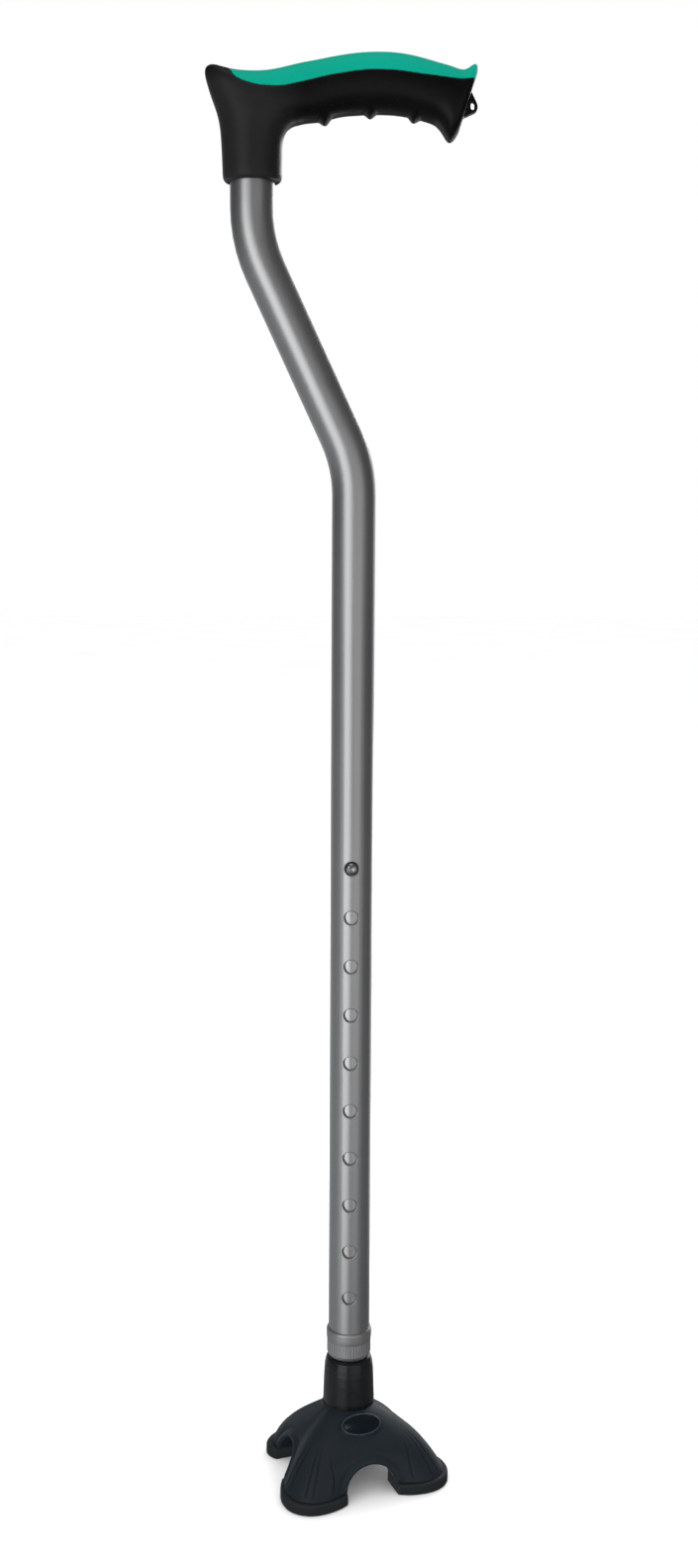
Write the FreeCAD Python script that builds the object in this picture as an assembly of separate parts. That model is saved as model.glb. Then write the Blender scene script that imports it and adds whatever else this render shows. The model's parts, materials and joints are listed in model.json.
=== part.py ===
import FreeCAD, Part
import math
import os
from FreeCAD import Vector as V

os.makedirs("parts", exist_ok=True)

# ---------------------------------------------------------------- dimensions
# millimetres, +Z up, floor at Z = 0. The straight lower tube stands at
# (TUBE_X, TUBE_Y); the grip runs along X and the height holes face -Y.
TUBE_X = 7.23          # lower tube axis, so the whole cane is centred on
TUBE_Y = 6.27          # X = 0 and Y = 0
SOCKET_DX = -50.0      # upper tube and handle socket axis from the lower tube axis

OUTER_R = 10.8         # outer tube, outside radius
OUTER_BORE = 9.5       # outer tube, inside radius
TUBE_BOTTOM = 68.5     # lower end of the outer tube
TUBE_TOP = 696.4       # upper end of the outer tube, inside the handle
BEND_R = 70.0          # both bends, on the centre line
BEND_LOW_Z = 526.4     # corner of the lower bend
BEND_HIGH_Z = 632.8    # corner of the upper bend

HOLE_R = 3.6           # height holes
HOLE_EDGE = 0.35       # rounding of their outer rims
HOLE_TOP_Z = 325.2
HOLE_PITCH = 25.4
HOLE_COUNT = 10

INNER_R = 9.2          # inner tube, outside radius
INNER_BORE = 8.0
INNER_BOTTOM = 30.0
INNER_TOP = 366.0
BUTTON_HOLE_R = 3.4
BUTTON_R = 3.1

COLLAR_BOTTOM = 61.6
COLLAR_TOP = 76.8
KNURLS = 48

STEM_TOP = 61.0
STEM_R = 13.55         # stem, at its foot
STEM_FOOT = 30.0       # seat of the stem inside the base
SOLE_H = 5.8           # thickness of each sole
BASE_TURN = 20.7       # the base is turned this much about the tube, degrees
BASE_N = -0.42         # the legs stand this far off the tube axis, towards
BASE_T = -1.12         # the base's own front and right
ARCH_R = 14.0          # the four arches between the legs
ARCH_Z = 3.3           # height of the arch centres

SOCKET_BOTTOM = 659.6  # lower lip of the handle socket
BORE_TOP = 697.0       # end of the tube bore in the handle


# ---------------------------------------------------------------- helpers
def cyl(r, h, p, d=(0, 0, 1)):
    return Part.makeCylinder(r, h, V(*p), V(*d))


def lathe(points, axis_point=(0, 0, 0)):
    """Turn a closed (radius, z) outline about the vertical axis."""
    pts = [V(r, 0, z) for r, z in points]
    wire = Part.makePolygon(pts + [pts[0]])
    s = Part.Face(wire).revolve(V(0, 0, 0), V(0, 0, 1), 360)
    s.translate(V(*axis_point))
    return s


def lin(x, xs, ys):
    if x <= xs[0]:
        return ys[0]
    for i in range(len(xs) - 1):
        if x <= xs[i + 1]:
            t = (x - xs[i]) / (xs[i + 1] - xs[i])
            return ys[i] + t * (ys[i + 1] - ys[i])
    return ys[-1]


def skin(rows):
    """Closed smooth solid over rings of control points, flat at both ends."""
    nu, nv = len(rows), len(rows[0])
    uk = list(range(nu - 2))
    um = [4] + [1] * (len(uk) - 2) + [4]
    vk = list(range(nv + 1))
    vm = [1] * (nv + 1)
    s = Part.BSplineSurface()
    s.buildFromPolesMultsKnots(rows, um, vm, uk, vk, False, True, 3, 3)
    side = s.toShape()
    caps = [Part.Face(Part.Wire([e])) for e in side.Edges if e.isClosed() and e.Length > 1e-6]
    shell = Part.makeShell([side] + caps)
    shell.sewShape()
    solid = Part.makeSolid(shell)
    if solid.Volume < 0:
        solid.reverse()
    return solid


def one(shape):
    """The biggest solid of a result, cleaned."""
    s = sorted(shape.Solids, key=lambda q: -q.Volume)
    return s[0] if s else shape


PARTS = {}


def put(name, shape):
    s = shape.copy()
    s.translate(V(TUBE_X, TUBE_Y, 0))
    PARTS[name] = s


# ---------------------------------------------------------------- handle
# Each row of the grip is a flat ring held by an outer point T, an inner point
# B and a half width. Rows run from the socket lip, round the elbow and the
# horn, along the grip, to the hooked end.
# (Tx, Tz, Bx, Bz, half width, squareness, narrowing towards T)
GRIP = [
    (-61.9, 659.6, -38.1, 659.6, 11.9, 2.0, 0.0),
    (-63.2, 659.7, -36.8, 659.7, 13.2, 2.0, 0.0),
    (-64.1, 660.9, -35.7, 660.9, 14.2, 2.0, 0.0),
    (-64.3, 663.2, -35.6, 663.2, 14.3, 2.0, 0.0),
    (-64.4, 667.0, -35.6, 666.6, 14.35, 2.0, 0.0),
    (-64.6, 672.5, -35.5, 671.2, 14.4, 2.0, 0.0),
    (-64.9, 678.5, -35.5, 675.4, 14.4, 2.0, 0.0),
    (-65.3, 684.0, -35.2, 678.8, 14.4, 2.0, 0.02),
    (-66.2, 689.2, -34.5, 681.6, 14.4, 2.05, 0.04),
    (-67.8, 694.2, -33.5, 683.6, 14.4, 2.1, 0.06),
    (-69.8, 699.3, -32.3, 684.8, 14.4, 2.15, 0.08),
    (-71.3, 704.1, -31.0, 685.7, 14.3, 2.2, 0.1),
    (-72.6, 708.7, -29.7, 686.3, 14.2, 2.25, 0.12),
    (-72.6, 712.3, -28.4, 686.7, 14.1, 2.3, 0.13),
    (-69.8, 713.9, -27.1, 686.9, 14.0, 2.3, 0.13),
    (-66.2, 712.8, -25.8, 687.34, 13.9, 2.3, 0.12),
    (-62.4, 711.8, -24.4, 687.6, 13.8, 2.3, 0.1),
    (-57.6, 710.95, -22.9, 687.77, 13.7, 2.3, 0.08),
    (-52.2, 710.6, -21.3, 687.95, 13.6, 2.3, 0.06),
    (-46.4, 710.55, -19.5, 688.05, 13.5, 2.3, 0.04),
    (-40.2, 711.15, -17.4, 688.25, 13.45, 2.3, 0.02),
    (-33.6, 712.65, -14.8, 688.65, 13.4, 2.3, 0.0),
    (-26.8, 714.32, -11.6, 689.7, 13.4, 2.3, 0.0),
    (-19.8, 715.47, -7.8, 690.7, 13.4, 2.3, 0.0),
    (-12.6, 716.97, -3.5, 691.2, 13.5, 2.3, 0.0),
    (-5.2, 718.27, 1.1, 691.45, 13.6, 2.3, 0.0),
    (2.2, 719.17, 6.0, 691.75, 13.7, 2.3, 0.0),
    (9.6, 719.47, 11.1, 691.85, 13.8, 2.3, 0.0),
    (16.8, 719.37, 16.4, 691.75, 13.8, 2.3, 0.0),
    (23.8, 718.57, 21.7, 691.25, 13.8, 2.3, 0.0),
    (30.2, 717.25, 26.7, 690.35, 13.7, 2.3, 0.0),
    (36.0, 715.7, 31.2, 689.25, 13.6, 2.3, 0.0),
    (41.2, 714.25, 35.0, 688.2, 13.5, 2.3, 0.0),
    (45.6, 713.23, 38.0, 687.1, 13.3, 2.3, 0.0),
    (49.3, 711.75, 40.2, 684.85, 13.1, 2.3, 0.0),
    (52.2, 711.5, 42.0, 682.15, 12.9, 2.3, 0.0),
    (54.6, 713.3, 43.8, 679.16, 12.7, 2.3, 0.0),
    (56.8, 714.9, 45.6, 678.48, 12.4, 2.3, 0.0),
    (58.2, 714.0, 47.6, 680.4, 11.6, 2.3, 0.0),
    (57.9, 710.6, 49.2, 683.11, 10.0, 2.3, 0.0),
]
RING = 40


def grip_rows(inset_t=0.0, inset_b=0.0, inset_w=0.0, rows=GRIP):
    out = []
    for tx, tz, bx, bz, w, n, k in rows:
        dx, dz = tx - bx, tz - bz
        L = math.hypot(dx, dz)
        ux, uz = dx / L, dz / L
        tx2, tz2 = tx - ux * inset_t, tz - uz * inset_t
        bx2, bz2 = bx + ux * inset_b, bz + uz * inset_b
        cx, cz = (tx2 + bx2) / 2, (tz2 + bz2) / 2
        h = math.hypot(tx2 - bx2, tz2 - bz2) / 2
        ring = []
        for j in range(RING):
            a = 2 * math.pi * j / RING
            c, s = math.cos(a), math.sin(a)
            q = (abs(c) ** n + abs(s) ** n) ** (-1.0 / n)
            # the control net stands a little outside the smooth skin
            q *= 1.0 + 0.0045
            c, s = c * q, s * q
            ww = (w - inset_w) * (1.0 - k * c)
            ring.append(V(cx + ux * h * c, ww * s, cz + uz * h * c))
        out.append(ring)
    return out


grip = skin(grip_rows())

# the line where the soft palm pad meets the handle body, seen from the side
SEAM = [(-66.0, 722.0), (-63.2, 715.0), (-60.6, 711.0), (-58.3, 706.6), (-55.9, 704.6),
        (-52.4, 703.1), (-48.8, 702.0), (-44.2, 701.3), (-39.4, 701.1), (-34.6, 701.3),
        (-29.9, 702.2), (-25.2, 703.2), (-20.4, 704.3), (-15.7, 705.4), (-11.0, 706.4),
        (-6.2, 707.1), (-1.5, 707.8), (3.2, 708.3), (8.0, 708.7), (12.7, 708.6),
        (17.4, 708.4), (22.2, 708.0), (26.9, 707.3), (31.6, 706.8), (36.4, 706.3),
        (41.1, 705.8), (45.9, 705.4), (50.7, 705.2), (55.4, 705.8), (60.0, 707.0), (66.0, 709.0)]
seam = Part.BSplineCurve()
seam.interpolate([V(x, -40, z) for x, z in SEAM])
seam_edge = seam.toShape()
p0, p1 = seam.StartPoint, seam.EndPoint
top_z = 760.0
above = Part.Face(Part.Wire([
    seam_edge,
    Part.makeLine(p1, V(p1.x, -40, top_z)),
    Part.makeLine(V(p1.x, -40, top_z), V(p0.x, -40, top_z)),
    Part.makeLine(V(p0.x, -40, top_z), p0)])).extrude(V(0, 80, 0))

core = skin(grip_rows(4.0, 0.0, 3.6, GRIP[14:-1]))
pad = one(grip.common(above).cut(core))
body = one(grip.cut(pad))

# finger ridges under the grip: blunt V ribs that run out at the sides
def ridge(x, z, height, half, slope):
    pts = [(-half - 0.5, 1.1), (-1.2, -height + 0.55), (-0.65, -height + 0.12), (0.0, -height),
           (0.65, -height + 0.12), (1.2, -height + 0.55), (half + 0.5, 1.1), (half + 0.5, 3.0),
           (-half - 0.5, 3.0)]
    face = Part.Face(Part.makePolygon([V(x + a, 0, z + b) for a, b in pts + [pts[0]]]))
    ring = face.revolve(V(x, 0, z + 7.6), V(1, 0, 0), 360)
    ring.rotate(V(x, 0, z), V(0, 1, 0), slope)
    return ring


for q in ((-15.2, 688.6, 2.5, 4.2, -11.0), (6.7, 691.2, 1.8, 3.8, 0.0), (27.7, 689.4, 1.9, 3.8, 12.0)):
    body = body.fuse(ridge(*q))
body = one(body)

# strap lug on the hooked end, with its eye
lug_pts = [(49.0, 700.6), (54.6, 702.0), (55.6, 701.0), (57.9, 696.2), (58.25, 694.7),
           (57.9, 693.3), (57.0, 692.5), (51.0, 689.8), (47.0, 692.0)]
lug_wire = Part.makePolygon([V(x, -2.3, z) for x, z in lug_pts + [lug_pts[0]]])
lug = Part.Face(lug_wire).extrude(V(0, 4.6, 0))
body = one(body.fuse(lug))
eye_w, eye_h = 0.95, 1.0
eye = cyl(eye_w, 12, (55.75, -6, 694.3), (0, 1, 0)).fuse(cyl(eye_w, 12, (55.75, -6, 696.3), (0, 1, 0)))
eye = eye.fuse(Part.makeBox(2 * eye_w, 12, 2.0, V(55.75 - eye_w, -6, 694.3)))
body = one(body.cut(eye))

# socket bore and screw seat at the back
body = one(body.cut(cyl(OUTER_R, BORE_TOP - SOCKET_BOTTOM + 5, (SOCKET_DX, 0, SOCKET_BOTTOM - 5))))
SCREW_Z = 673.0
body = one(body.cut(cyl(3.9, 6, (SOCKET_DX, 12.6, SCREW_Z), (0, 1, 0))))
body = one(body.cut(cyl(1.9, 8, (SOCKET_DX, 8, SCREW_Z), (0, 1, 0))))
put("handle_body", body)
put("palm_pad", pad)

screw = cyl(1.9, 12.2, (SOCKET_DX, 0.5, SCREW_Z), (0, 1, 0))
head = Part.Face(Part.makePolygon([V(0, 12.6, 0), V(3.6, 12.6, 0), V(3.6, 13.4, 0), V(2.8, 14.1, 0),
                                   V(1.2, 14.5, 0), V(0, 14.5, 0), V(0, 12.6, 0)])).revolve(
    V(0, 0, 0), V(0, 1, 0), 360)
head.translate(V(SOCKET_DX, 0, SCREW_Z))
screw = one(screw.fuse(head))
for a in (0, 90):
    slot = Part.makeBox(4.0, 2.0, 0.8, V(-2.0, 13.3, -0.4))
    slot.rotate(V(0, 0, 0), V(0, 1, 0), a)
    slot.translate(V(SOCKET_DX, 0, SCREW_Z))
    screw = screw.cut(slot)
put("handle_screw", one(screw))


# ---------------------------------------------------------------- tubes
def swan(r, z_low, z_high):
    """Solid rod along the offset tube line, from z_low up to z_high."""
    slope = math.atan2(-SOCKET_DX, BEND_HIGH_Z - BEND_LOW_Z)
    t = BEND_R * math.tan(slope / 2)
    ux, uz = -math.sin(slope), math.cos(slope)
    a = V(0, 0, z_low)
    b = V(0, 0, BEND_LOW_Z - t)
    c = V(ux * t, 0, BEND_LOW_Z + uz * t)
    d = V(SOCKET_DX - ux * t, 0, BEND_HIGH_Z - uz * t)
    e = V(SOCKET_DX, 0, BEND_HIGH_Z + t)
    f = V(SOCKET_DX, 0, z_high)
    m1c = V(-BEND_R, 0, BEND_LOW_Z - t)
    m1 = m1c + V(BEND_R * math.cos(slope / 2), 0, BEND_R * math.sin(slope / 2))
    m2c = V(SOCKET_DX + BEND_R, 0, BEND_HIGH_Z + t)
    m2 = m2c + V(-BEND_R * math.cos(slope / 2), 0, -BEND_R * math.sin(slope / 2))
    path = Part.Wire([Part.makeLine(a, b), Part.Arc(b, m1, c).toShape(), Part.makeLine(c, d),
                      Part.Arc(d, m2, e).toShape(), Part.makeLine(e, f)])
    disc = Part.Face(Part.Wire(Part.makeCircle(r, a, V(0, 0, 1))))
    return path.makePipe(disc)


tube = swan(OUTER_R, TUBE_BOTTOM, TUBE_TOP).cut(swan(OUTER_BORE, TUBE_BOTTOM - 5, TUBE_TOP + 5))
for i in range(HOLE_COUNT):
    tube = tube.cut(cyl(HOLE_R, 8, (0, -13, HOLE_TOP_Z - i * HOLE_PITCH), (0, 1, 0)))
# the outer rims of the holes are rounded over
rims = [e for e in tube.Edges if 15 < e.Length < 30 and e.BoundBox.YMax < -(OUTER_BORE + OUTER_R) / 2 + 0.1
        and e.BoundBox.ZLength < 2 * HOLE_R + 0.2 and e.BoundBox.ZMax < HOLE_TOP_Z + HOLE_R + 1]
print("hole rims", len(rims))
tube = one(tube).makeFillet(HOLE_EDGE, rims)
tube = tube.cut(cyl(1.9, 8, (SOCKET_DX, 6, SCREW_Z), (0, 1, 0)))
put("outer_tube", one(tube))

plug = cyl(OUTER_BORE, TUBE_TOP - 662.0, (SOCKET_DX, 0, 662.0))
plug = plug.cut(cyl(5.5, 6.0, (SOCKET_DX, 0, 661.0)))
plug = plug.cut(cyl(1.9, 14, (SOCKET_DX, 0.5, SCREW_Z), (0, 1, 0)))
put("tube_top_plug", one(plug))

inner = cyl(INNER_R, INNER_TOP - INNER_BOTTOM, (0, 0, INNER_BOTTOM)).cut(
    cyl(INNER_BORE, INNER_TOP - INNER_BOTTOM + 4, (0, 0, INNER_BOTTOM - 2)))
inner = inner.cut(cyl(BUTTON_HOLE_R, 8, (0, -12, HOLE_TOP_Z), (0, 1, 0)))
put("inner_tube", one(inner))

glide = lathe([(5.6, 356.0), (7.6, 356.0), (INNER_BORE, 357.0), (INNER_BORE, INNER_TOP), (9.44, INNER_TOP),
               (9.44, 369.2), (8.9, 370.0), (5.6, 370.0)])
put("inner_tube_glide", glide)

# ---------------------------------------------------------------- snap button
button = lathe([(0, 0), (4.4, 0), (4.4, 0.7), (BUTTON_R, 0.7), (BUTTON_R, 4.4), (2.98, 4.95), (2.65, 5.5),
                (2.2, 5.9), (1.75, 6.12), (1.4, 6.14), (1.1, 6.0), (0.85, 5.75), (0.45, 5.6), (0, 5.55)])
button.rotate(V(0, 0, 0), V(1, 0, 0), 90)      # +Z of the button now points to -Y
button.translate(V(0, -5.75, HOLE_TOP_Z))
put("snap_button", one(button))

# flat spring strip, bent to a V inside the inner tube
t = 0.5
strip = [(-5.7, 329.4), (-5.7, 300.0), (-4.6, 294.6), (-1.6, 291.4), (2.0, 291.6), (4.6, 294.6),
         (6.9, 312.0), (6.9, 329.0), (6.9 - t, 329.0), (6.9 - t, 312.2), (4.1, 295.0), (1.8, 292.2),
         (-1.4, 292.0), (-4.2, 295.0), (-5.7 + t, 300.2), (-5.7 + t, 329.4)]
spring = Part.Face(Part.makePolygon([V(-2.6, y, z) for y, z in strip + [strip[0]]])).extrude(V(5.2, 0, 0))
put("button_spring", one(spring))

# ---------------------------------------------------------------- lock collar
collar = lathe([(9.5, COLLAR_BOTTOM), (10.6, COLLAR_BOTTOM), (11.3, 62.7), (11.6, 63.8), (11.6, 70.2),
                (11.68, 70.9), (11.8, 71.8), (11.88, 73.0), (11.9, 75.4), (11.75, 76.3), (11.35, COLLAR_TOP),
                (10.86, COLLAR_TOP), (10.86, 68.2), (10.72, 67.9), (10.72, 63.0), (9.5, 63.0)])
cuts = []
for i in range(KNURLS):
    a = 2 * math.pi * i / KNURLS
    cuts.append(cyl(0.42, 6.5, (11.82 * math.cos(a), 11.82 * math.sin(a), 63.7)))
collar = collar.cut(Part.makeCompound(cuts))
put("lock_collar", one(collar))

ferrule = lathe([(9.25, 63.3), (9.9, 63.3), (10.4, 64.6), (10.4, TUBE_BOTTOM), (9.25, TUBE_BOTTOM)])
for a in (0, 120, 240):
    slit = Part.makeBox(4, 0.8, 3.4, V(8.5, -0.4, 63.0))
    slit.rotate(V(0, 0, 0), V(0, 0, 1), a + 30)
    ferrule = ferrule.cut(slit)
put("collet_ring", one(ferrule))

# ---------------------------------------------------------------- base
# heights, and at each the distance of the flat front, the sides, the rear and
# the rounded leg corners from the tube axis; the rear legs are the shorter pair
ROWS_Z = [5.8, 7.0, 9.0, 11.5, 14.0, 16.5, 19.0, 21.2, 23.4, 25.4, 27.2, 28.9, 30.2, 31.2, 32.0, 32.9, 33.8,
          34.6, 35.3, 36.0, 36.4]
FRONT = [38.0, 38.0, 37.9, 37.8, 37.6, 37.4, 37.0, 36.0, 33.9, 31.5, 29.0, 26.4, 24.4, 22.8, 21.5, 20.0, 18.4,
         16.7, 15.0, 13.0, 12.6]
SIDES = [39.4, 38.6, 37.3, 35.7, 34.0, 32.2, 30.4, 28.7, 26.9, 25.1, 23.3, 21.4, 19.8, 18.4, 17.2, 15.8, 14.4,
         13.2, 12.8, 12.7, 12.6]
SIDES_REAR = [34.6, 34.2, 33.6, 33.0, 32.3, 31.4, 30.2, 28.5, 26.4, 24.2, 21.9, 19.6, 17.8, 16.4, 15.2, 14.0,
              13.0, 12.8, 12.7, 12.6, 12.6]
REAR = [32.0, 31.8, 31.4, 30.8, 30.0, 29.0, 27.6, 26.0, 24.0, 21.8, 19.6, 17.4, 15.8, 14.5, 13.6, 12.9, 12.8,
        12.7, 12.6, 12.6, 12.6]
LEGS = [55.0, 54.3, 52.8, 50.9, 48.9, 46.7, 44.3, 41.8, 39.0, 36.0, 33.0, 29.9, 27.4, 25.4, 23.7, 21.8, 19.8,
        17.8, 15.8, 13.4, 12.6]
LEGS_REAR = [42.3, 41.8, 40.8, 39.4, 37.6, 35.4, 32.8, 30.2, 27.2, 24.2, 21.4, 18.8, 16.8, 15.2, 14.0, 13.1,
             12.8, 12.7, 12.6, 12.6, 12.6]
W_A = [0, 5, 10, 15, 20, 25, 30, 35, 40, 45]
W_K = [0.0, 0.01, 0.035, 0.09, 0.20, 0.43, 0.68, 0.86, 0.97, 1.0]
RING_B = 96


def hull_ring(z, front, side, side_rear, rear, leg, leg_rear):
    ring = []
    for j in range(RING_B):
        a = 360.0 * j / RING_B
        b = a if a <= 180 else 360 - a           # 0 front, 90 side, 180 rear
        t = min(1.0, max(0.0, (b - 75.0) / 30.0))
        t = t * t * (3 - 2 * t)
        sd = side + (side_rear - side) * t
        if b <= 45:
            f, g, m = front, leg, b
        elif b <= 90:
            f, g, m = sd, leg, 90 - b
        elif b <= 135:
            f, g, m = sd, leg_rear, b - 90
        else:
            f, g, m = rear, leg_rear, 180 - b
        r = f + (g - f) * lin(m, W_A, W_K)
        ar = math.radians(a)
        ring.append(V(r * math.cos(ar), r * math.sin(ar), z))
    return ring


hull = skin([hull_ring(*q) for q in zip(ROWS_Z, FRONT, SIDES, SIDES_REAR, REAR, LEGS, LEGS_REAR)])
# badge seat on the front slope
BADGE_N, BADGE_T, BADGE_Z, BADGE_TILT = 22.15, 0.0, 32.0, 57.0
bn = V(math.cos(math.radians(BADGE_TILT)), 0, math.sin(math.radians(BADGE_TILT)))


def oval(rx, ry, depth, lift):
    """Flat oval plate, rx along the base's Y and ry up the slope."""
    e = Part.makeCylinder(1.0, depth)
    m = FreeCAD.Matrix()
    m.scale(ry, rx, 1.0)
    e = e.transformGeometry(m)
    e.rotate(V(0, 0, 0), V(0, 1, 0), 90 - BADGE_TILT)
    c = V(BADGE_N, BADGE_T, BADGE_Z) + bn * lift
    e.translate(c)
    return e


seat = oval(11.3, 6.5, 5.0, -4.5)
hull = one(hull.fuse(seat))
cavity = lathe([(0, 0), (29.2, 0), (29.2, 6.0), (28.4, 10.0), (26.6, 14.0), (23.6, 18.0), (19.4, 21.6),
                (14.4, 24.2), (10.6, 25.4), (0, 25.4)])
hull = hull.cut(cavity)
for d in ((1, 0, 0), (0, 1, 0)):
    rod = cyl(ARCH_R, 140, tuple(-70 * q for q in d[:2]) + (ARCH_Z,), d)
    slab = Part.makeBox(140, 2 * ARCH_R, 8.0, V(-70, -ARCH_R, ARCH_Z - 8.0))
    if d[1]:
        slab.rotate(V(0, 0, 0), V(0, 0, 1), 90)
    hull = hull.cut(rod.fuse(slab))
hull = one(hull)
# tube socket and bolt hole, on the tube axis, and the pockets for the sole plugs
hull = hull.cut(cyl(STEM_R, 20, (-BASE_N, -BASE_T, STEM_FOOT)))
hull = hull.cut(cyl(4.1, 20, (-BASE_N, -BASE_T, 20)))
PLUG_AT = 30.6         # front sole plugs, from the tube axis both ways
PLUG_AT_REAR = 25.2
for px, r in ((PLUG_AT, 5.5), (-PLUG_AT_REAR, 3.4)):
    for sy in (1, -1):
        hull = hull.cut(cyl(r, 5.2, (px, sy * abs(px), SOLE_H - 0.2)))
plate_cut = oval(10.8, 6.0, 3.0, -0.1)
hull = hull.cut(plate_cut)
hull = one(hull)


def base_turned(shape):
    s = shape.copy()
    s.translate(V(BASE_N, BASE_T, 0))
    s.rotate(V(0, 0, 0), V(0, 0, 1), -90 + BASE_TURN)
    return s


put("base_shell", base_turned(hull))
emblem = oval(10.75, 5.95, 0.75, -0.1)
put("emblem_plate", base_turned(emblem))

# soles: rounded outside, cut square beside the arches, hollowed to the middle
SOLE = [(40.5, 14.0), (42.9, 19.0), (44.2, 24.5), (44.5, 30.0), (43.3, 35.6), (40.4, 40.4), (35.8, 43.8),
        (30.2, 45.2), (24.6, 45.0), (19.0, 43.3), (14.0, 40.9)]
SOLE_REAR = [(33.4, 14.0), (34.2, 18.5), (34.1, 23.0), (33.0, 27.4), (30.7, 31.3), (27.6, 34.6), (24.2, 36.9),
             (20.8, 37.8), (17.5, 37.2), (14.0, 35.2)]


def sole_shape(outline, plug_at, plug_r):
    c = Part.BSplineCurve()
    c.interpolate([V(x, y, 0) for x, y in outline])
    inner_r = 28.9
    q = math.sqrt(inner_r ** 2 - 14.0 ** 2)
    mid = inner_r / math.sqrt(2)
    w = Part.Wire([c.toShape(),
                   Part.makeLine(V(14.0, outline[-1][1], 0), V(14.0, q, 0)),
                   Part.Arc(V(14.0, q, 0), V(mid, mid, 0), V(q, 14.0, 0)).toShape(),
                   Part.makeLine(V(q, 14.0, 0), V(outline[0][0], 14.0, 0))])
    s = Part.Face(w).extrude(V(0, 0, SOLE_H))

    def rim(shape, low):
        return [e for e in shape.Edges if e.Length > 35 and (e.BoundBox.ZMax < 0.01 if low else e.BoundBox.ZMin > 5)
                and math.hypot(e.CenterOfMass.x, e.CenterOfMass.y) > 36]

    # soften the outer rim, top and bottom
    s2 = s.makeFillet(1.1, rim(s, False))
    s2 = s2.makeFillet(0.8, rim(s2, True))
    if s2.isValid() and s2.Volume > 0:
        s = s2
    s = s.fuse(cyl(plug_r, 5.0 + 1.0, (plug_at, plug_at, SOLE_H - 1.0)))
    return one(s)


front_sole = sole_shape(SOLE, PLUG_AT, 5.5)
rear_sole = sole_shape(SOLE_REAR, PLUG_AT_REAR, 3.4)
for name, shape, flip_x, flip_y in (("sole_front_left", front_sole, False, True),
                                    ("sole_front_right", front_sole, False, False),
                                    ("sole_rear_right", rear_sole, True, False),
                                    ("sole_rear_left", rear_sole, True, True)):
    s = shape.copy()
    if flip_x:
        s = s.mirror(V(0, 0, 0), V(1, 0, 0))
    if flip_y:
        s = s.mirror(V(0, 0, 0), V(0, 1, 0))
    put(name, base_turned(s))

stem = lathe([(INNER_R, STEM_FOOT), (STEM_R, STEM_FOOT), (STEM_R, 38.0), (13.42, 42.0), (13.22, 48.0), (13.0, 53.0),
              (12.75, 56.6), (12.35, 58.6), (11.95, 60.0), (11.3, 60.75), (10.5, STEM_TOP), (INNER_R, STEM_TOP)])
put("base_stem", stem)

insert = cyl(INNER_BORE, 24, (0, 0, INNER_BOTTOM)).cut(cyl(3.9, 30, (0, 0, INNER_BOTTOM - 2)))
put("tube_foot_insert", one(insert))
washer = cyl(8.5, 1.4, (0, 0, 24.0)).cut(cyl(4.1, 4, (0, 0, 23)))
put("base_washer", one(washer))
hexa = Part.makePolygon([V(7.3 * math.cos(math.radians(60 * i)), 7.3 * math.sin(math.radians(60 * i)), 18.9)
                         for i in range(7)])
bolt = Part.Face(hexa).extrude(V(0, 0, 5.1)).fuse(cyl(3.9, 26.0, (0, 0, 23.9)))
put("base_bolt", one(bolt))

# ---------------------------------------------------------------- output
for name, s in PARTS.items():
    ok = s.isValid() and s.Volume > 0 and len(s.Solids) == 1
    print("%-18s ok=%s solids=%d vol=%.1f" % (name, ok, len(s.Solids), s.Volume),
          [round(v, 2) for v in (s.BoundBox.XMin, s.BoundBox.XMax, s.BoundBox.YMin, s.BoundBox.YMax,
                                 s.BoundBox.ZMin, s.BoundBox.ZMax)])
    s.exportStep("parts/%s.step" % name)
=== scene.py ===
import json
import math

import bmesh
import bpy
import numpy as np
from mathutils import Matrix, Vector


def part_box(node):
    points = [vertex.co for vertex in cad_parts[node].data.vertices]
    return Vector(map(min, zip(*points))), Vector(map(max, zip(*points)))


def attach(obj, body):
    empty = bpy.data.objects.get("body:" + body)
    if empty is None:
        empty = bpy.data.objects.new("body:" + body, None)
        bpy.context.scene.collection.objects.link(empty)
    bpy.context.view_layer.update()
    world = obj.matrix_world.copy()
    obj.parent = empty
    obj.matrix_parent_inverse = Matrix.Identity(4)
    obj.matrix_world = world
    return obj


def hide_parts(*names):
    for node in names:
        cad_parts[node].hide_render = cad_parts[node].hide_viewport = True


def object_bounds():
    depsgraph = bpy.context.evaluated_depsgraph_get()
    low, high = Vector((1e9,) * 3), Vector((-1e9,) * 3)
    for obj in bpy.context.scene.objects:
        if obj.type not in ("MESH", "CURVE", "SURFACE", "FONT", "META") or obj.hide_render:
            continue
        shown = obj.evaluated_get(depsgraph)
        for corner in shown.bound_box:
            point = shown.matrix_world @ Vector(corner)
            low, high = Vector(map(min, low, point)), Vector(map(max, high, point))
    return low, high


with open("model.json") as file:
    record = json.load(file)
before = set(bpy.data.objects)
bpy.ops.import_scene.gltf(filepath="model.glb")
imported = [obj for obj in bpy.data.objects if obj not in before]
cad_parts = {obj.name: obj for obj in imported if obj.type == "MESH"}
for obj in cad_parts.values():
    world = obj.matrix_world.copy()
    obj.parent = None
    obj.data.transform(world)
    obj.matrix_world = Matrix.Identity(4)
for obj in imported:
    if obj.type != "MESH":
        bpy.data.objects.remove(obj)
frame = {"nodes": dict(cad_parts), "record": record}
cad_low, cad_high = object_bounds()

nodes = frame["nodes"]
scene = bpy.context.scene

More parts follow.
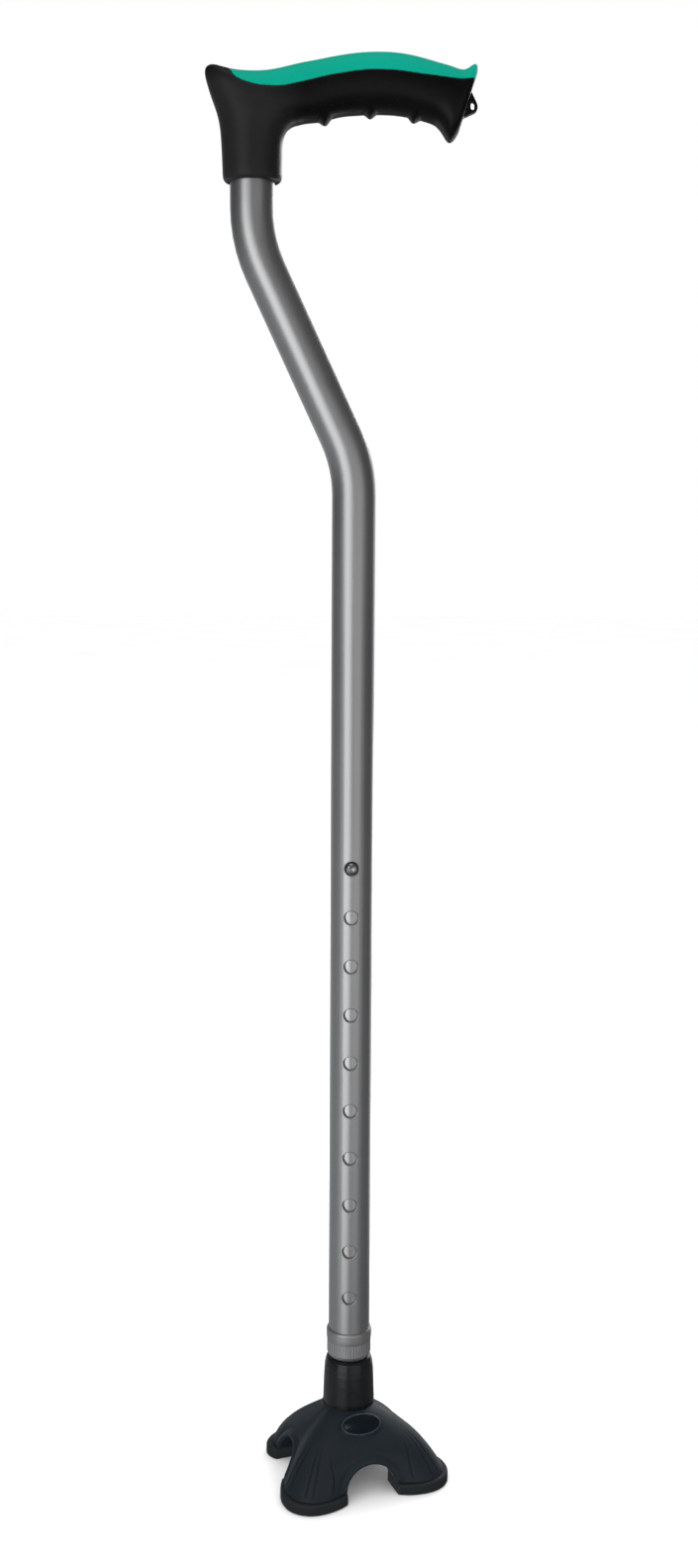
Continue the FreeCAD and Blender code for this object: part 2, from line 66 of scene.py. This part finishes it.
# ------------------------------------------------------------------ places
tube_low, tube_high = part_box("lock_collar")
TX = (tube_low.x + tube_high.x) / 2          # axis of the straight tube
TY = (tube_low.y + tube_high.y) / 2
TOP = cad_high.z
TURN = math.radians(-90 + 20.7)              # the base's own front direction
NX, NY = math.cos(TURN), math.sin(TURN)
BX = TX + (-0.42 * NX + 1.12 * NY) * 0.001   # centre of the four legs
BY = TY + (-0.42 * NY - 1.12 * NX) * 0.001
MM = 0.001


# ------------------------------------------------------------------ node helpers
def material(name):
    m = bpy.data.materials.new(name)
    m.use_nodes = True
    t = m.node_tree
    bsdf = t.nodes["Principled BSDF"]
    return m, t, bsdf


def n_(t, kind, **kw):
    x = t.nodes.new(kind)
    for k, v in kw.items():
        setattr(x, k, v)
    return x


def obj_coord(t, scale=(1, 1, 1)):
    c = n_(t, "ShaderNodeTexCoord")
    m = n_(t, "ShaderNodeMapping")
    m.inputs["Scale"].default_value = scale
    t.links.new(c.outputs["Object"], m.inputs["Vector"])
    return m.outputs["Vector"]


def noise(t, vec, scale, detail=3.0, rough=0.55):
    x = n_(t, "ShaderNodeTexNoise")
    x.inputs["Scale"].default_value = scale
    x.inputs["Detail"].default_value = detail
    x.inputs["Roughness"].default_value = rough
    t.links.new(vec, x.inputs["Vector"])
    return x.outputs["Fac"]


def ramp(t, fac, stops):
    r = n_(t, "ShaderNodeValToRGB")
    while len(r.color_ramp.elements) > 2:
        r.color_ramp.elements.remove(r.color_ramp.elements[-1])
    el = r.color_ramp.elements
    for i, (p, c) in enumerate(stops):
        e = el[i] if i < 2 else el.new(p)
        e.position = p
        e.color = c if len(c) == 4 else tuple(c) + (1.0,)
    t.links.new(fac, r.inputs["Fac"])
    return r.outputs["Color"]


def maprange(t, fac, a, b, c, d):
    m = n_(t, "ShaderNodeMapRange")
    m.inputs["From Min"].default_value = a
    m.inputs["From Max"].default_value = b
    m.inputs["To Min"].default_value = c
    m.inputs["To Max"].default_value = d
    t.links.new(fac, m.inputs["Value"])
    return m.outputs["Result"]


def math_(t, op, a, b=None):
    m = n_(t, "ShaderNodeMath", operation=op)
    for i, v in enumerate((a, b)):
        if v is None:
            continue
        if isinstance(v, (int, float)):
            m.inputs[i].default_value = v
        else:
            t.links.new(v, m.inputs[i])
    return m.outputs[0]


def bump(t, bsdf, height, strength, distance):
    b = n_(t, "ShaderNodeBump")
    b.inputs["Strength"].default_value = strength
    b.inputs["Distance"].default_value = distance
    t.links.new(height, b.inputs["Height"])
    t.links.new(b.outputs["Normal"], bsdf.inputs["Normal"])


def convex_edge_sheen(t, low=0.50, high=0.62):
    """A mask that is 1 on convex edges, from the mesh itself, used for a painted highlight."""
    g = n_(t, "ShaderNodeNewGeometry")
    return maprange(t, g.outputs["Pointiness"], low, high, 0.0, 1.0)


def mix_color(t, fac, a, b):
    m = n_(t, "ShaderNodeMix", data_type="RGBA")
    if isinstance(fac, (int, float)):
        m.inputs[0].default_value = fac
    else:
        t.links.new(fac, m.inputs[0])
    for i, v in ((6, a), (7, b)):
        if isinstance(v, tuple):
            m.inputs[i].default_value = v if len(v) == 4 else v + (1.0,)
        else:
            t.links.new(v, m.inputs[i])
    return m.outputs[2]


# ------------------------------------------------------------------ materials
def plastic(name, dark, light, rough=(0.38, 0.5), grain=1500.0, grain_bump=0.12, spec=0.5, mottling=14.0,
            edge=None, flutes=False, lit_socket_side=False):
    """Moulded plastic or rubber: fine pebble grain, slow mottling, a painted highlight on its convex edges."""
    m, t, b = material(name)
    vec = obj_coord(t)
    slow = noise(t, vec, mottling, 4.0)
    col = ramp(t, slow, [(0.30, dark), (0.72, light)])
    if edge is not None:
        # painted highlight: convex edges are painted in the paler edge colour
        col = mix_color(t, convex_edge_sheen(t), col, edge)
    if lit_socket_side:
        # painted highlight: the lower left socket side is painted paler than the grip, standing in for the key light
        # falling on that side
        at = n_(t, "ShaderNodeSeparateXYZ")
        t.links.new(vec, at.inputs[0])
        lit_side_zone = math_(t, "MULTIPLY", maprange(t, at.outputs["X"], TX - 0.024, TX - 0.044, 0.0, 1.0),
                     maprange(t, at.outputs["Z"], 0.713, 0.703, 0.0, 1.0))
        lit_patch_noise = noise(t, vec, 70.0, 5.0)
        lit_side_zone = math_(t, "MULTIPLY", lit_side_zone, maprange(t, lit_patch_noise, 0.25, 0.75, 0.72, 1.0))
        col = mix_color(t, lit_side_zone, col, (0.0130, 0.0130, 0.0134))
    if flutes:
        # the shaded bottoms of the moulded grooves, kept with the mesh
        at = n_(t, "ShaderNodeAttribute", attribute_name="groove")
        col = mix_color(t, math_(t, "MULTIPLY", at.outputs["Fac"], 0.62), col, (0.0022, 0.0030, 0.0042))
    t.links.new(col, b.inputs["Base Color"])
    fine = noise(t, vec, grain, 2.0)
    mid = noise(t, vec, 140.0, 3.0)
    r = math_(t, "ADD", maprange(t, slow, 0.3, 0.7, rough[0], rough[1]), maprange(t, mid, 0.3, 0.7, -0.03, 0.03))
    t.links.new(r, b.inputs["Roughness"])
    b.inputs["Specular IOR Level"].default_value = spec
    bump(t, b, fine, grain_bump, 0.0002)
    return m


def aluminium(name, dark, light, rough, streak=0.5, grain=True):
    """Satin anodised tube: faint streaks along its length over a fine etched grain."""
    m, t, b = material(name)
    vec = obj_coord(t)
    along = obj_coord(t, (900.0, 900.0, 5.0))
    lines = noise(t, along, 1.0, 3.0)
    cloud = noise(t, vec, 18.0, 4.0)
    fac = math_(t, "ADD", math_(t, "MULTIPLY", lines, streak), math_(t, "MULTIPLY", cloud, 1.0 - streak))
    col = ramp(t, fac, [(0.35, dark), (0.65, light)])
    t.links.new(col, b.inputs["Base Color"])
    b.inputs["Metallic"].default_value = 1.0
    r = math_(t, "ADD", maprange(t, fac, 0.3, 0.7, rough - 0.03, rough + 0.04), 0.0)
    t.links.new(r, b.inputs["Roughness"])
    fine = noise(t, vec, 2600.0, 2.0)
    h = math_(t, "ADD", math_(t, "MULTIPLY", fine, 0.6), math_(t, "MULTIPLY", lines, 0.4))
    bump(t, b, h, 0.10 if grain else 0.05, 0.0001)
    return m


# the edge colours given to the plastics below are painted highlights on their convex edges
mats = {}
mats["anodised_tube"] = aluminium("anodised_tube", (0.49, 0.495, 0.50), (0.54, 0.54, 0.54), 0.365)
mats["bright_tube"] = aluminium("bright_tube", (0.50, 0.50, 0.50), (0.62, 0.62, 0.615), 0.30, streak=0.8)
mats["collar_grey"] = aluminium("collar_grey", (0.46, 0.46, 0.465), (0.53, 0.53, 0.535), 0.50, streak=0.15)
# handle: a painted paler patch on its lower left socket side stands in for the key light falling there
mats["handle_black"] = plastic("handle_black", (0.0009, 0.0009, 0.0010), (0.0018, 0.0018, 0.0019), (0.34, 0.42),
                               grain=1700.0, grain_bump=0.08, spec=0.18, edge=(0.004, 0.004, 0.0043),
                               lit_socket_side=True)
mats["palm_teal"] = plastic("palm_teal", (0.0001, 0.246, 0.171), (0.0002, 0.280, 0.200), (0.50, 0.60), grain=1300.0,
                            grain_bump=0.14, spec=0.04, edge=(0.001, 0.30, 0.215))
mats["gloss_black"] = plastic("gloss_black", (0.0040, 0.0048, 0.0058), (0.0046, 0.0054, 0.0064), (0.275, 0.295),
                              grain=110.0, grain_bump=0.002, spec=0.36)
mats["gloss_black"].node_tree.nodes["Principled BSDF"].inputs["Coat Weight"].default_value = 0.15
mats["base_rubber"] = plastic("base_rubber", (0.0056, 0.0098, 0.0146), (0.0072, 0.0122, 0.0178), (0.44, 0.54),
                              grain=1500.0, grain_bump=0.14, spec=0.24, edge=(0.019, 0.024, 0.029), flutes=True)
mats["sole_rubber"] = plastic("sole_rubber", (0.0066, 0.0090, 0.0108), (0.0098, 0.0124, 0.0144), (0.52, 0.66),
                              grain=1100.0, grain_bump=0.20, spec=0.25, edge=(0.022, 0.024, 0.026))
mats["nylon"] = plastic("nylon", (0.030, 0.030, 0.030), (0.045, 0.045, 0.045), (0.42, 0.52), grain=900.0,
                        grain_bump=0.08)


def steel(name, dark, light, rough, metal=1.0):
    m, t, b = material(name)
    vec = obj_coord(t)
    cloud = noise(t, vec, 260.0, 4.0)
    t.links.new(ramp(t, cloud, [(0.3, dark), (0.7, light)]), b.inputs["Base Color"])
    b.inputs["Metallic"].default_value = metal
    t.links.new(maprange(t, cloud, 0.3, 0.7, rough - 0.05, rough + 0.08), b.inputs["Roughness"])
    bump(t, b, noise(t, vec, 3200.0, 2.0), 0.08, 0.00005)
    return m


mats["button_steel"] = steel("button_steel", (0.40, 0.40, 0.40), (0.54, 0.54, 0.54), 0.20)
mats["steel"] = steel("steel", (0.42, 0.42, 0.43), (0.60, 0.60, 0.61), 0.32)


def emblem_material():
    m, t, b = material("emblem")
    vec = obj_coord(t)
    slow = noise(t, vec, 60.0, 3.0)
    dark = ramp(t, slow, [(0.3, (0.0009, 0.0022, 0.0042)), (0.7, (0.0020, 0.0046, 0.0078))])
    # painted highlight: the raised rim is painted a paler blue-grey, standing in for the light it catches
    at = n_(t, "ShaderNodeAttribute", attribute_name="rim")
    t.links.new(mix_color(t, at.outputs["Fac"], dark, (0.038, 0.060, 0.074)), b.inputs["Base Color"])
    t.links.new(maprange(t, slow, 0.3, 0.7, 0.14, 0.22), b.inputs["Roughness"])
    b.inputs["Specular IOR Level"].default_value = 0.5
    b.inputs["Coat Weight"].default_value = 0.5
    b.inputs["Coat Roughness"].default_value = 0.08
    bump(t, b, noise(t, vec, 700.0, 2.0), 0.02, 0.0001)
    return m


mats["emblem"] = emblem_material()

slots = {s["node"]: s["material_slot"] for s in frame["record"]["subparts"]}
for name, o in nodes.items():
    m = mats[slots[name]]
    if not o.data.materials:
        o.data.materials.append(m)
    for i in range(len(o.data.materials)):
        o.data.materials[i] = m


# ------------------------------------------------------------------ mesh helpers
def copy_of(node, name):
    me = nodes[node].data.copy()
    me.name = name
    o = bpy.data.objects.new(name, me)
    scene.collection.objects.link(o)
    return o


def apply_all(o):
    bpy.context.view_layer.update()
    dg = bpy.context.evaluated_depsgraph_get()
    me = bpy.data.meshes.new_from_object(o.evaluated_get(dg))
    o.modifiers.clear()
    old = o.data
    o.data = me
    bpy.data.meshes.remove(old)
    me.name = o.name


def remesh(o, voxel):
    bm = bmesh.new()
    bm.from_mesh(o.data)
    bmesh.ops.remove_doubles(bm, verts=bm.verts, dist=1e-6)
    bm.to_mesh(o.data)
    bm.free()
    mod = o.modifiers.new("voxels", "REMESH")
    mod.mode = "VOXEL"
    mod.voxel_size = voxel
    mod.use_smooth_shade = True
    apply_all(o)


def coords(o):
    co = np.zeros(len(o.data.vertices) * 3, np.float32)
    o.data.vertices.foreach_get("co", co)
    return co.reshape(-1, 3).astype(float)


def set_coords(o, co):
    o.data.vertices.foreach_set("co", co.astype(np.float32).ravel())
    o.data.update()


def normals(o):
    n = np.zeros(len(o.data.vertices) * 3, np.float32)
    o.data.vertices.foreach_get("normal", n)
    return n.reshape(-1, 3).astype(float)


def edges_of(o):
    e = np.zeros(len(o.data.edges) * 2, np.int64)
    o.data.edges.foreach_get("vertices", e)
    return e.reshape(-1, 2)


def relax(co, e, weight, rounds, step=0.5, keep=True):
    """Laplacian smoothing with a weight for every vertex. With keep, every
    second pass pushes back out, so the form doesn't shrink."""
    deg = np.bincount(e.ravel(), minlength=len(co)).astype(float)[:, None]
    w = weight[:, None]
    for k in range(rounds):
        s = np.zeros_like(co)
        np.add.at(s, e[:, 0], co[e[:, 1]])
        np.add.at(s, e[:, 1], co[e[:, 0]])
        d = s / np.maximum(deg, 1) - co
        co = co + d * w * step
        if keep:
            s = np.zeros_like(co)
            np.add.at(s, e[:, 0], co[e[:, 1]])
            np.add.at(s, e[:, 1], co[e[:, 0]])
            d = s / np.maximum(deg, 1) - co
            co = co - d * w * (step * 1.03)
    return co


def smooth_step(x, a, b):
    t = np.clip((x - a) / (b - a), 0, 1)
    return t * t * (3 - 2 * t)


def shade(o):
    for p in o.data.polygons:
        p.use_smooth = True


# ------------------------------------------------------------------ base shell
# the hull with its rolled arch lips, its rounded feet and the fine flutes
hull = copy_of("base_shell", "base_hull")
remesh(hull, 0.00036)
co = coords(hull)
E = edges_of(hull)
lx = ((co[:, 0] - BX) * NX + (co[:, 1] - BY) * NY) / MM     # towards the base's front
ly = (-(co[:, 0] - BX) * NY + (co[:, 1] - BY) * NX) / MM    # towards its right
lz = co[:, 2] / MM
rad = np.hypot(lx, ly)
hull_cavity = np.interp(lz, [0, 6.0, 10.0, 14.0, 18.0, 21.6, 24.2, 25.4], [29.2, 29.2, 28.4, 26.6, 23.6, 19.4, 14.4, 9.0])
# distance from the arch walls
d_arch = np.minimum(np.abs(np.hypot(lx, lz - 3.3) - 14.0), np.abs(np.hypot(ly, lz - 3.3) - 14.0))
d_low = np.where(lz < 3.4, np.minimum(np.abs(np.abs(lx) - 14), np.abs(np.abs(ly) - 14)), 99)
d_arch = np.minimum(d_arch, d_low)
outside = rad > hull_cavity + 1.2
near = (1 - smooth_step(d_arch, 3.2, 6.4)) * outside * (lz < 27) * smooth_step(lz, 6.6, 9.0)
seat_keep = (np.hypot(lx - 22.15, ly) < 15.0) & (lz > 25)
collar_keep = (rad < 15.2) & (lz > 28)
near[seat_keep | collar_keep] = 0
first = np.full(len(co), 0.6)
first[seat_keep | collar_keep] = 0.25
first[lz < 6.5] = 0.0
co = relax(co, E, first, 6)
co = relax(co, E, near, 48, keep=False)
set_coords(hull, co)
nor = normals(hull)
lx = ((co[:, 0] - BX) * NX + (co[:, 1] - BY) * NY) / MM
ly = (-(co[:, 0] - BX) * NY + (co[:, 1] - BY) * NX) / MM
lz = co[:, 2] / MM
# raised lip round the arches, with a shallow hollow behind it
up = np.maximum(lz - 3.3, 0.0)
d_lip = np.minimum(np.hypot(ly, up), np.hypot(lx, up)) - 14.0
facing = smooth_step((nor[:, 0] * (co[:, 0] - BX) + nor[:, 1] * (co[:, 1] - BY)) / (rad * MM), 0.15, 0.45)
hold = facing * (rad > 24.0) * smooth_step(lz, 6.4, 8.0) * (1 - seat_keep) * (1 - collar_keep)
lift = 0.55 * np.exp(-((d_lip - 1.7) / 1.25) ** 2) - 0.28 * np.exp(-((d_lip - 4.5) / 1.0) ** 2)
co = co + nor * (lift * hold * MM)[:, None]
set_coords(hull, co)
nor = normals(hull)
# fine flutes that fan out down the outer face of each leg
ang = np.degrees(np.arctan2(ly, lx))
depth = np.zeros(len(co))
for centre, offsets in ((45, (-17.0, -6.0, -1.5, 9.5, 14.0)), (-45, (-14.0, -9.5, 1.5, 6.0, 17.0)),
                        (135, (-12.0, -4.0, 4.0, 12.0)), (-135, (-12.0, -4.0, 4.0, 12.0))):
    d = (ang - centre + 180) % 360 - 180
    top = 30.0 if abs(centre) < 90 else 23.0
    for off in offsets:
        # flutes start close together near the top and spread towards the foot
        spread = 0.62 + 0.38 * smooth_step(top - lz, 0, 18)
        w = np.deg2rad(d - off * spread) * np.hypot(lx, ly)
        fade = smooth_step(lz, 7.2, 9.0) * (1 - smooth_step(lz, top - 9 - abs(off) * 0.15, top - 1 - abs(off) * 0.15))
        depth = np.maximum(depth, np.exp(-(w / 0.46) ** 2) * fade)
out_face = (nor[:, 0] * (co[:, 0] - BX) + nor[:, 1] * (co[:, 1] - BY)) > 0.0
depth *= out_face * (np.hypot(lx, ly) > 20) * (1 - near * 0.6)
co = co - nor * (depth * 0.26 * MM)[:, None]
set_coords(hull, co)
groove = hull.data.attributes.new("groove", "FLOAT", "POINT")
groove.data.foreach_set("value", depth.astype(np.float32))
shade(hull)
hull.data.materials.clear()
hull.data.materials.append(mats["base_rubber"])
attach(hull, "lower_section")
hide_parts("base_shell")

# ------------------------------------------------------------------ emblem
# a plain domed oval with a narrow raised rim, lying in its seat on the front slope
EN, ET, EZ, TILT = 22.15, 0.0, 32.0, math.radians(57.0)
en = Vector((math.cos(TILT) * NX, math.cos(TILT) * NY, math.sin(TILT)))      # out of the slope
eu = Vector((-math.sin(TILT) * NX, -math.sin(TILT) * NY, math.cos(TILT)))    # up the slope
et = Vector((-NY, NX, 0.0))                                                  # to the base's right
ec = Vector((BX + (EN * NX - ET * NY) * MM, BY + (EN * NY + ET * NX) * MM, EZ * MM))
RX, RY = 10.68, 5.88
# the third number in each station weights the painted rim highlight
stations = [(1.0, -0.08, 0), (1.0, 0.50, 0.3), (0.993, 0.66, 0.8), (0.978, 0.74, 1), (0.958, 0.74, 1), (0.942, 0.66, 0.9),
            (0.930, 0.54, 0.3), (0.915, 0.53, 0), (0.88, 0.57, 0), (0.80, 0.66, 0), (0.68, 0.77, 0), (0.54, 0.87, 0),
            (0.38, 0.95, 0), (0.20, 1.0, 0)]
bm = bmesh.new()
rim_layer = bm.verts.layers.float.new("rim")
rings = []
SEG = 96
for k, h, rim in stations:
    ring = []
    inset = (1 - k) * RY                       # the same width all round the oval
    for j in range(SEG):
        a = 2 * math.pi * j / SEG
        if k > 0.9:
            px, py = (RX - inset) * math.cos(a), (RY - inset) * math.sin(a)
        else:
            px, py = RX * k * math.cos(a), RY * k * math.sin(a)
        v = bm.verts.new(ec + (et * px + eu * py + en * h) * MM)
        v[rim_layer] = rim
        ring.append(v)
    rings.append(ring)
for r0, r1 in zip(rings, rings[1:]):
    for j in range(SEG):
        bm.faces.new((r0[j], r0[(j + 1) % SEG], r1[(j + 1) % SEG], r1[j]))
top = bm.verts.new(ec + en * (1.02 * MM))
for j in range(SEG):
    bm.faces.new((rings[-1][j], rings[-1][(j + 1) % SEG], top))
bm.faces.new(list(reversed(rings[0])))
bmesh.ops.recalc_face_normals(bm, faces=bm.faces)
me = bpy.data.meshes.new("emblem_dome")
bm.to_mesh(me)
bm.free()
emblem = bpy.data.objects.new("emblem_dome", me)
scene.collection.objects.link(emblem)
shade(emblem)
me.materials.append(mats["emblem"])
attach(emblem, "lower_section")
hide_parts("emblem_plate")

# ------------------------------------------------------------------ handle
# one smooth moulding: the finger ridges and the strap lug run into it softly
grip = copy_of("handle_body", "grip_body")
remesh(grip, 0.00045)
co = coords(grip)
E = edges_of(grip)
gx = (co[:, 0] - TX) / MM
gy = (co[:, 1] - TY) / MM
gz = co[:, 2] / MM
w = np.full(len(co), 0.55)
ridge = np.zeros(len(co))
for rx, rz in ((-15.2, 688.6), (6.7, 691.2), (27.7, 689.4)):
    dd = np.sqrt((gx - rx) ** 2 + (np.maximum(gz - rz - 3, 0) * 0.9) ** 2)
    ridge = np.maximum(ridge, (1 - smooth_step(dd, 4.4, 6.5)) * (gz < rz + 9))
lug_zone = (gx > 47) & (np.abs(gy) < 6) & (gz < 704) & (gz > 687)
bore = (np.hypot(gx + 50.0, gy) < 11.6) & (gz < 698)
eye = (gx > 53.6) & (np.abs(gy) < 3.4) & (gz > 692) & (gz < 699)
first = w.copy()
first[bore] = 0.0
first[eye] = 0.15
co = relax(co, E, first, 8)
soft = np.maximum(ridge * 0.9, np.where(lug_zone & ~eye, 0.6, 0.0))
soft[bore] = 0
co = relax(co, E, soft, 5, keep=False)
set_coords(grip, co)
shade(grip)
grip.data.materials.clear()
grip.data.materials.append(mats["handle_black"])
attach(grip, "upper_section")
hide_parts("handle_body")

pad = copy_of("palm_pad", "palm_cushion")
remesh(pad, 0.00045)
co = coords(pad)
E = edges_of(pad)
co = relax(co, E, np.full(len(co), 0.6), 6)
co = relax(co, E, np.full(len(co), 0.5), 3, keep=False)
set_coords(pad, co)
shade(pad)
pad.data.materials.clear()
pad.data.materials.append(mats["palm_teal"])
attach(pad, "upper_section")
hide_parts("palm_pad")

# ------------------------------------------------------------------ floor
bpy.ops.mesh.primitive_circle_add(vertices=128, radius=12.0, fill_type="NGON", location=(0, 0, 0))
floor = bpy.context.object
floor.name = "floor"
m, t, b = material("floor_paper")
vec = obj_coord(t)
t.links.new(ramp(t, noise(t, vec, 3.0), [(0.3, (0.86, 0.86, 0.86)), (0.7, (0.88, 0.88, 0.88))]), b.inputs["Base Color"])
b.inputs["Roughness"].default_value = 0.9
floor.data.materials.append(m)


# ------------------------------------------------------------------ light
def area(name, loc, target, size, power, color=(1, 1, 1), size_y=None):
    l = bpy.data.lights.new(name, "AREA")
    l.energy = power
    l.color = color
    if size_y:
        l.shape = "RECTANGLE"
        l.size, l.size_y = size, size_y
    else:
        l.size = size
    o = bpy.data.objects.new(name, l)
    scene.collection.objects.link(o)
    o.location = loc
    o.rotation_euler = (Vector(target) - Vector(loc)).to_track_quat("-Z", "Y").to_euler()
    o.visible_camera = False
    return o


def around(azimuth, distance, z):
    """A point at that angle from the front, positive to the camera's right."""
    a = math.radians(azimuth)
    return (TX + distance * math.sin(a), TY - distance * math.cos(a), z)


AIM = (TX, TY, 0.20)
# a wide soft panel from the front left, a weaker one from the front right, weak ones behind
area("key", around(-29, 1.5, 0.20), AIM, 1.15, 7.1, (1.0, 1.0, 1.0), 1.56)
area("fill", around(29, 1.5, 0.20), AIM, 1.45, 3.3, (1.0, 0.985, 0.97), 1.56)
area("back_left", around(-148, 1.5, 0.25), AIM, 0.7, 1.2, (1.0, 1.0, 1.0), 1.6)
area("back_right", around(150, 1.5, 0.25), AIM, 0.7, 3.4, (1.0, 1.0, 1.0), 1.6)
area("left_high", around(-42, 1.0, 0.80), (TX - 0.045, TY, 0.69), 0.50, 0.45)
area("back_low", around(163, 0.65, 0.22), (0.01, 0.0, 0.03), 0.22, 0.40)
area("back_high", around(155, 1.3, 1.20), (0, 0, 0.05), 0.8, 7.0)
area("top", (TX - 0.3, TY - 0.4, 2.6), (0, 0, 0.3), 1.4, 6.0)

world = bpy.data.worlds.new("studio")
scene.world = world
world.use_nodes = True
wt = world.node_tree
wt.nodes.clear()
out = n_(wt, "ShaderNodeOutputWorld")
path = n_(wt, "ShaderNodeLightPath")
coord = n_(wt, "ShaderNodeTexCoord")
split = n_(wt, "ShaderNodeSeparateXYZ")
wt.links.new(coord.outputs["Generated"], split.inputs[0])
below = maprange(wt, split.outputs["Z"], 0.05, -0.25, 0.0, 1.0)
left = maprange(wt, split.outputs["X"], 0.1, -0.6, 0.25, 1.0)
low_glow = math_(wt, "MULTIPLY", math_(wt, "MULTIPLY", below, left), 0.24)
strength = math_(wt, "ADD", low_glow, 0.06)
gloss = n_(wt, "ShaderNodeBackground")
gloss.inputs["Color"].default_value = (0.93, 0.97, 1.0, 1)
wt.links.new(strength, gloss.inputs["Strength"])
soft = n_(wt, "ShaderNodeBackground")
soft.inputs["Color"].default_value = (1, 1, 1, 1)
soft.inputs["Strength"].default_value = 1.22
seen = n_(wt, "ShaderNodeBackground")
seen.inputs["Color"].default_value = (1, 1, 1, 1)
seen.inputs["Strength"].default_value = 1.0
m1 = n_(wt, "ShaderNodeMixShader")
m2 = n_(wt, "ShaderNodeMixShader")
wt.links.new(path.outputs["Is Glossy Ray"], m1.inputs["Fac"])
wt.links.new(soft.outputs[0], m1.inputs[1])
wt.links.new(gloss.outputs[0], m1.inputs[2])
wt.links.new(path.outputs["Is Camera Ray"], m2.inputs["Fac"])
wt.links.new(m1.outputs[0], m2.inputs[1])
wt.links.new(seen.outputs[0], m2.inputs[2])
wt.links.new(m2.outputs[0], out.inputs["Surface"])
floor.visible_glossy = False

scene.view_settings.view_transform = "Standard"
scene.view_settings.look = "None"
scene.view_settings.exposure = 0.0

# ------------------------------------------------------------------ camera
cam = bpy.data.cameras.new("camera")
cam_o = bpy.data.objects.new("camera", cam)
scene.collection.objects.link(cam_o)
cam.sensor_fit = "AUTO"
cam.sensor_width = 36.0
cam.lens = 38.165
cam.dof.use_dof = False
cam_o.location = (TX - 0.00162, TY - 0.8346, 0.48294)
cam_o.rotation_euler = (Matrix.Rotation(math.radians(90 - 7.91), 3, "X") @ Matrix.Rotation(math.radians(0.33), 3, "Z")).to_euler()
scene.camera = cam_o
